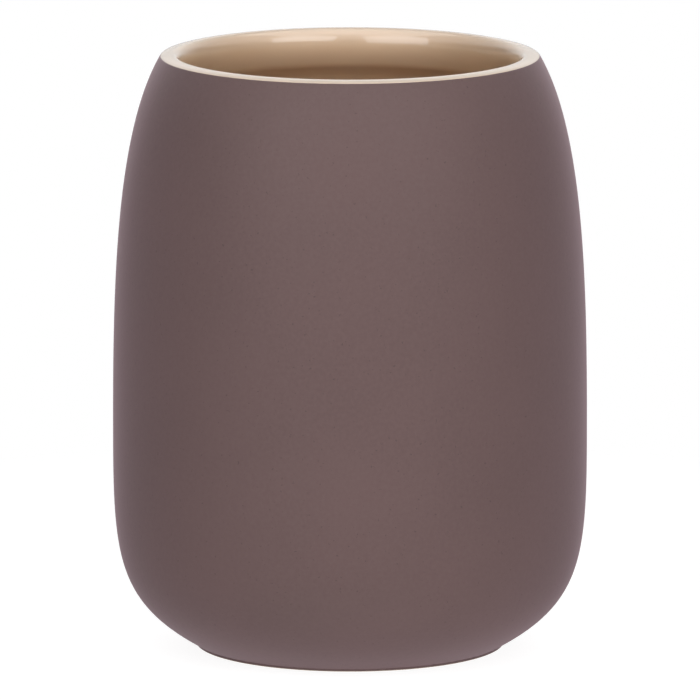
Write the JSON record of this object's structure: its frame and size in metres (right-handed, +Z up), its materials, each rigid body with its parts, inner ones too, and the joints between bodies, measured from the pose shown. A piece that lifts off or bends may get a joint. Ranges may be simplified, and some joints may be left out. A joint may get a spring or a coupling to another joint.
{
  "type": "toothbrush holder",
  "caption": "Open ceramic tumbler with a narrow foot, full belly and drawn-in mouth, matte glaze outside and gloss glaze over the lip and inside.",
  "frame": {"origin": "centre of the foot ring's face, on the surface the holder stands on", "axes": "+Z up along the axis of the cup, through the mouth; the cup is round, so X and Y are any two level directions"},
  "size_m": [0.0874, 0.0874, 0.11],
  "materials": {
    "fired_clay": "bare fired stoneware, dry and fine-grained",
    "cream_gloss_glaze": "smooth gloss glaze, warm cream",
    "taupe_matte_glaze": "matte glaze with a very fine speckle and a soft sheen, dusty taupe"
  },
  "bodies": {
    "root": {"stoneware_body": "fired_clay", "inner_glaze": "cream_gloss_glaze", "outer_glaze": "taupe_matte_glaze", "base_glaze": "taupe_matte_glaze"}
  },
  "joints": []
}
